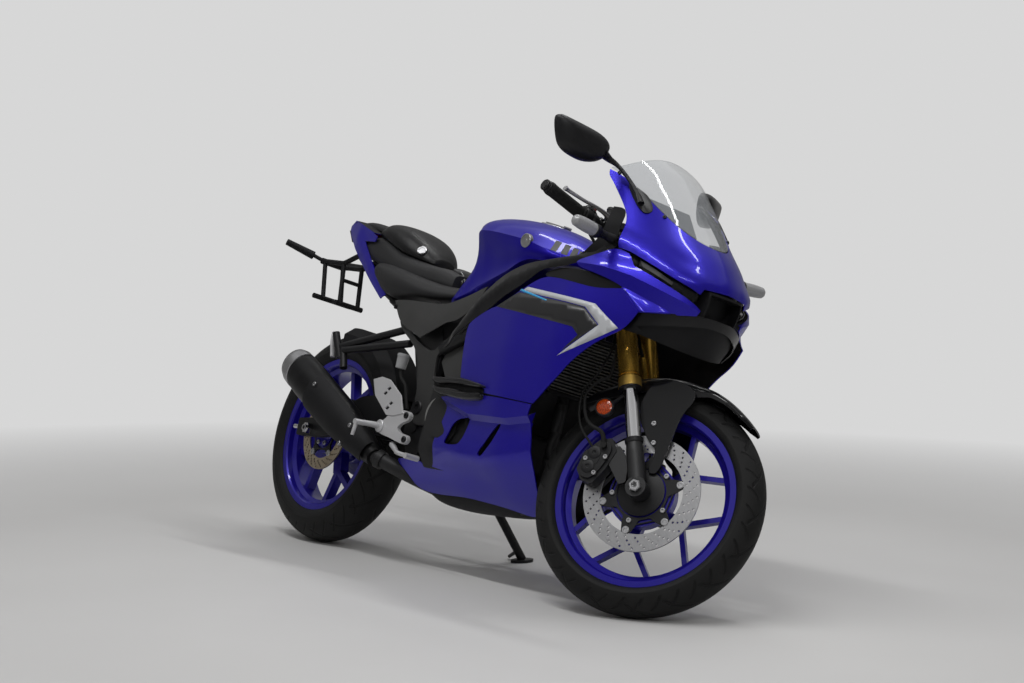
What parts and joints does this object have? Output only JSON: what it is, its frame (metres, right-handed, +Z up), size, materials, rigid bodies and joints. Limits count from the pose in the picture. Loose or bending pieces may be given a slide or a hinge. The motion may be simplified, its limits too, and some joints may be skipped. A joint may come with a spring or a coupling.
{
  "type": "sport bike",
  "caption": "Fully faired sport motorcycle with clip-on bars, stepped seats and high muffler, parked on its side stand with the bars on the left stop.",
  "frame": {"origin": "on the ground, under the middle of the parked bike's box", "axes": "+X forwards, +Y towards the rider's left, +Z up; the bike leans 16 degrees to its left"},
  "size_m": [1.9994, 0.737, 1.2176],
  "materials": {
    "alloy": "satin alloy",
    "amber": "amber reflector",
    "axle": "machined",
    "bar": "satin black",
    "black_gloss": "gloss black",
    "black_matt": "matt black",
    "caliper": "satin black",
    "cap": "satin",
    "chain": "oiled",
    "clamp": "satin black",
    "control": "satin black",
    "cover": "dark grey",
    "cowl_blue": "gloss deep blue",
    "disc": "ground stainless steel",
    "engine": "dark grey cast",
    "exhaust": "heat tinted",
    "fork_chrome": "hard chrome",
    "fork_gold": "gold anodised",
    "frame": "satin black",
    "grip": "matt",
    "indicator": "pale grey lens",
    "lamp": "lamp unit",
    "muffler": "satin black",
    "radiator": "black fins",
    "rim": "gloss deep blue",
    "screen": "light smoke",
    "seat": "grained vinyl",
    "shock": "satin",
    "sprocket": "satin",
    "tail_lamp": "red lens",
    "tank_blue": "gloss deep blue",
    "tyre": "matt black rubber"
  },
  "bodies": {
    "rear_wheel": {"rear_sprocket": "sprocket", "rear_tyre": "tyre", "rear_rim": "rim", "rear_disc": "disc"},
    "steering": {"fork_lowers": "fork_chrome", "fork_outers": "fork_gold", "fork_clamps": "clamp", "handlebars": "bar", "grips": "grip", "hand_controls": "control", "front_fender": "black_gloss", "front_caliper": "caliper", "front_axle": "axle", "fork_reflectors": "amber"},
    "frame": {"main_frame": "frame", "subframe": "frame", "engine": "engine", "radiator": "radiator", "muffler": "muffler", "exhaust_pipes": "exhaust", "swingarm": "frame", "rear_axle": "axle", "rear_shock": "shock", "chain": "chain", "rear_caliper": "caliper", "rear_hugger": "black_matt", "fuel_tank": "tank_blue", "rider_seat": "seat", "pillion_seat": "seat", "seat_base": "black_matt", "tail_cowl": "cowl_blue", "plate_bracket": "black_matt", "rear_lamps": "tail_lamp", "rider_footrests": "alloy", "pillion_footrests": "frame", "stand_bracket": "frame", "nose_cowl": "cowl_blue", "windscreen": "screen", "side_cowls": "cowl_blue", "fairing_wings": "cowl_blue", "lower_cowls": "cowl_blue", "gloss_strips": "black_gloss", "side_covers": "cover", "inner_cowl": "black_matt", "headlamps": "lamp", "mirrors": "black_matt", "front_indicators": "indicator", "instrument_panel": "black_matt"},
    "tank_cap": {"tank_cap": "cap"},
    "side_stand": {"side_stand": "frame"},
    "front_wheel": {"front_tyre": "tyre", "front_rim": "rim", "front_disc": "disc"}
  },
  "joints": [
    {"name": "steer", "type": "hinge", "parent": "frame", "child": "steering", "pos_m": [0.45171, 0.00259, 0.78524], "axis": [-0.417, 0.2505, 0.8737], "range_deg": [-58.8, 0]},
    {"name": "front_wheel_spin", "type": "hinge", "parent": "steering", "child": "front_wheel", "pos_m": [0.73175, -0.12615, 0.26908], "axis": [-0.4462, 0.781, -0.4369], "continuous": true},
    {"name": "rear_wheel_spin", "type": "hinge", "parent": "frame", "child": "rear_wheel", "pos_m": [-0.64368, -0.13525, 0.30455], "axis": [0, 0.9613, -0.2756], "continuous": true},
    {"name": "side_stand_fold", "type": "hinge", "parent": "frame", "child": "side_stand", "pos_m": [-0.0242, -0.04548, 0.18951], "axis": [0, 0.9613, -0.2756], "range_deg": [0, 95]},
    {"name": "tank_cap_hinge", "type": "hinge", "parent": "frame", "child": "tank_cap", "pos_m": [0.18316, 0.04681, 0.93946], "axis": [0, 0.9613, -0.2756], "range_deg": [0, 100]}
  ]
}
